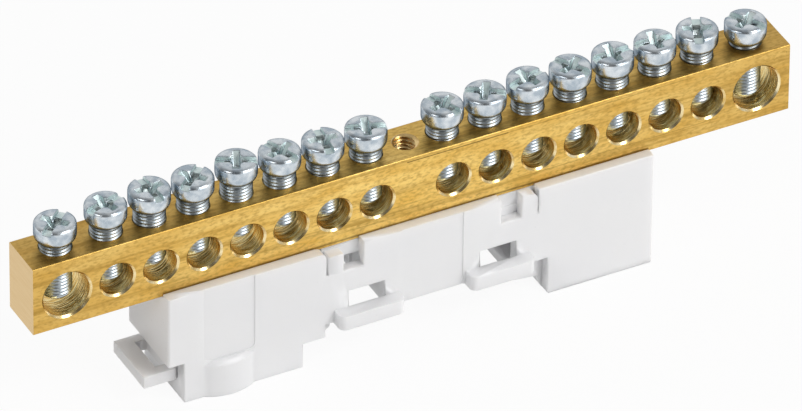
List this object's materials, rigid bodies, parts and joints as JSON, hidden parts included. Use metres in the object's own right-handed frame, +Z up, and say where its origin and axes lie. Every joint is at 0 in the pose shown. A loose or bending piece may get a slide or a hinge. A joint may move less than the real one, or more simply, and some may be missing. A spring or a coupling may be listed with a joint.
{
  "type": "uninsulated busbar",
  "caption": "Brass busbar with a row of cross-drilled wire terminals and clamp screws, on a moulded holder that snaps on a top-hat rail with a sliding latch.",
  "frame": {"origin": "on the surface the holder's feet stand on, under the middle of the bar", "axes": "+X along the bar away from the latch, +Z up from the feet to the screw heads, so that +Y runs into the depth, from the notched front face to the back"},
  "size_m": [0.127, 0.0182, 0.0375],
  "materials": {
    "drawn_brass": "drawn, satin",
    "holder_plastic": "moulded, satin",
    "latch_plastic": "moulded, satin",
    "zinc_plated_steel": "bright zinc plate"
  },
  "bodies": {
    "carrier": {"busbar": "drawn_brass", "din_holder": "holder_plastic", "bar_fixing_screw": "zinc_plated_steel"},
    "latch": {"rail_latch": "latch_plastic"},
    "terminal_screw_01": {"terminal_screw_01": "zinc_plated_steel"},
    "terminal_screw_02": {"terminal_screw_02": "zinc_plated_steel"},
    "terminal_screw_03": {"terminal_screw_03": "zinc_plated_steel"},
    "terminal_screw_04": {"terminal_screw_04": "zinc_plated_steel"},
    "terminal_screw_05": {"terminal_screw_05": "zinc_plated_steel"},
    "terminal_screw_06": {"terminal_screw_06": "zinc_plated_steel"},
    "terminal_screw_07": {"terminal_screw_07": "zinc_plated_steel"},
    "terminal_screw_08": {"terminal_screw_08": "zinc_plated_steel"},
    "terminal_screw_09": {"terminal_screw_09": "zinc_plated_steel"},
    "terminal_screw_10": {"terminal_screw_10": "zinc_plated_steel"},
    "terminal_screw_11": {"terminal_screw_11": "zinc_plated_steel"},
    "terminal_screw_12": {"terminal_screw_12": "zinc_plated_steel"},
    "terminal_screw_13": {"terminal_screw_13": "zinc_plated_steel"},
    "terminal_screw_14": {"terminal_screw_14": "zinc_plated_steel"},
    "terminal_screw_15": {"terminal_screw_15": "zinc_plated_steel"},
    "terminal_screw_16": {"terminal_screw_16": "zinc_plated_steel"}
  },
  "joints": [
    {"name": "latch_slide", "type": "slide", "parent": "carrier", "child": "latch", "axis": [1, 0, 0], "range_m": [-0.0023, 0], "stiffness_N_per_m": 500, "springref_m": 0.0006},
    {"name": "clamp_travel_01", "type": "slide", "parent": "carrier", "child": "terminal_screw_01", "axis": [0, 0, 1], "range_m": [-0.00122, 0.006]},
    {"name": "clamp_travel_02", "type": "slide", "parent": "carrier", "child": "terminal_screw_02", "axis": [0, 0, 1], "range_m": [-0.00032, 0.0043]},
    {"name": "clamp_travel_03", "type": "slide", "parent": "carrier", "child": "terminal_screw_03", "axis": [0, 0, 1], "range_m": [-0.00072, 0.0039]},
    {"name": "clamp_travel_04", "type": "slide", "parent": "carrier", "child": "terminal_screw_04", "axis": [0, 0, 1], "range_m": [-0.00047, 0.00415]},
    {"name": "clamp_travel_05", "type": "slide", "parent": "carrier", "child": "terminal_screw_05", "axis": [0, 0, 1], "range_m": [-0.00107, 0.00355]},
    {"name": "clamp_travel_06", "type": "slide", "parent": "carrier", "child": "terminal_screw_06", "axis": [0, 0, 1], "range_m": [-0.00052, 0.0041]},
    {"name": "clamp_travel_07", "type": "slide", "parent": "carrier", "child": "terminal_screw_07", "axis": [0, 0, 1], "range_m": [-0.00022, 0.0044]},
    {"name": "clamp_travel_08", "type": "slide", "parent": "carrier", "child": "terminal_screw_08", "axis": [0, 0, 1], "range_m": [-0.00012, 0.0045]},
    {"name": "clamp_travel_09", "type": "slide", "parent": "carrier", "child": "terminal_screw_09", "axis": [0, 0, 1], "range_m": [-0.00022, 0.0044]},
    {"name": "clamp_travel_10", "type": "slide", "parent": "carrier", "child": "terminal_screw_10", "axis": [0, 0, 1], "range_m": [-0.00012, 0.0045]},
    {"name": "clamp_travel_11", "type": "slide", "parent": "carrier", "child": "terminal_screw_11", "axis": [0, 0, 1], "range_m": [-0.00032, 0.0043]},
    {"name": "clamp_travel_12", "type": "slide", "parent": "carrier", "child": "terminal_screw_12", "axis": [0, 0, 1], "range_m": [-0.00022, 0.0044]},
    {"name": "clamp_travel_13", "type": "slide", "parent": "carrier", "child": "terminal_screw_13", "axis": [0, 0, 1], "range_m": [-0.00022, 0.0044]},
    {"name": "clamp_travel_14", "type": "slide", "parent": "carrier", "child": "terminal_screw_14", "axis": [0, 0, 1], "range_m": [-0.00022, 0.0044]},
    {"name": "clamp_travel_15", "type": "slide", "parent": "carrier", "child": "terminal_screw_15", "axis": [0, 0, 1], "range_m": [-0.00012, 0.0045]},
    {"name": "clamp_travel_16", "type": "slide", "parent": "carrier", "child": "terminal_screw_16", "axis": [0, 0, 1], "range_m": [-0.00042, 0.0068]}
  ]
}
